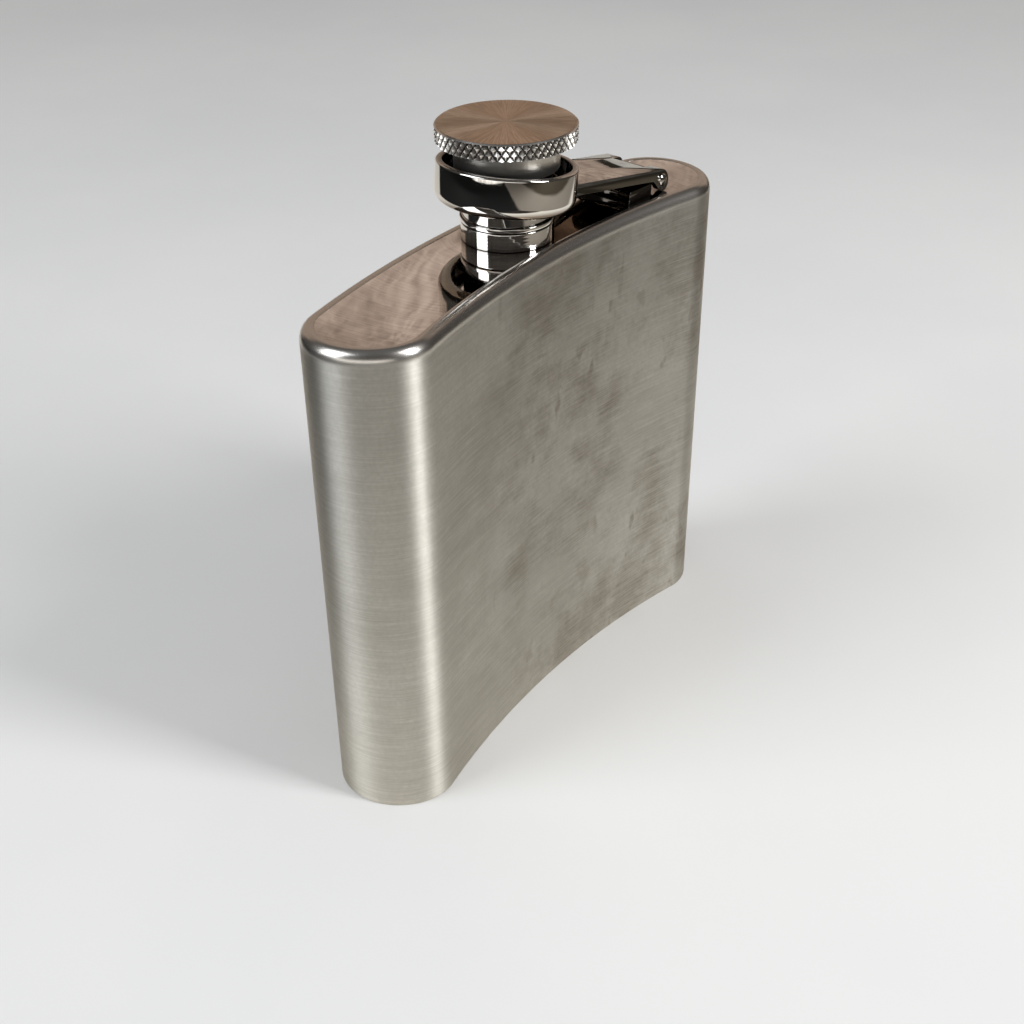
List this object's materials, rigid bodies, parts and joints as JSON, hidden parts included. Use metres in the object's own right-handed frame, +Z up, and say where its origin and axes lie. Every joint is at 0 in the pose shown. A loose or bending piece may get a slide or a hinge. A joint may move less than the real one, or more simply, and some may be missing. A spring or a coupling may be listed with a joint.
{
  "type": "hip flask",
  "caption": "Curved pocket flask with a flat polished top, a threaded neck, and a knurled screw cap held by a loose ring on a hinged arm.",
  "frame": {"origin": "middle of the flask's width and thickness at its bottom, directly below the neck's axis, on the face it stands on", "axes": "+Z up along the neck, +X along the width towards the cap's hinge, +Y towards the convex back, so the concave side faces -Y"},
  "size_m": [0.0946, 0.0256, 0.1028],
  "materials": {
    "satin_steel": "satin, with fine handling scratches",
    "polished_steel": "mirror polished, with faint swirl marks",
    "chrome": "mirror polished",
    "knurled_steel": "diamond knurled rim, finely turned top",
    "silicone": "matt, translucent grey"
  },
  "bodies": {
    "flask": {"body_shell": "satin_steel", "bottom_plate": "satin_steel", "top_plate": "polished_steel", "neck": "chrome", "hinge_bracket": "chrome"},
    "arm": {"cap_arm": "chrome", "captive_ring": "chrome", "hinge_pin": "chrome"},
    "seal": {"cap_seal": "silicone"},
    "cap": {"cap_knob": "knurled_steel", "cap_sleeve": "chrome"}
  },
  "joints": [
    {"name": "arm_swing", "type": "hinge", "parent": "flask", "child": "arm", "pos_m": [0.03206, -0.00296, 0.0862], "axis": [0.0918, 0.9958, 0], "range_deg": [0, 150]},
    {"name": "cap_lift", "type": "slide", "parent": "arm", "child": "seal", "axis": [0, 0, 1], "range_m": [0, 0.004]},
    {"name": "cap_spin", "type": "hinge", "parent": "seal", "child": "cap", "pos_m": [0, 0, 0.1], "axis": [0, 0, 1], "range_deg": [0, 720]}
  ],
  "couplings": [
    {"joint": "cap_lift", "follows": "cap_spin", "m_per_rad": 0.0003183}
  ]
}
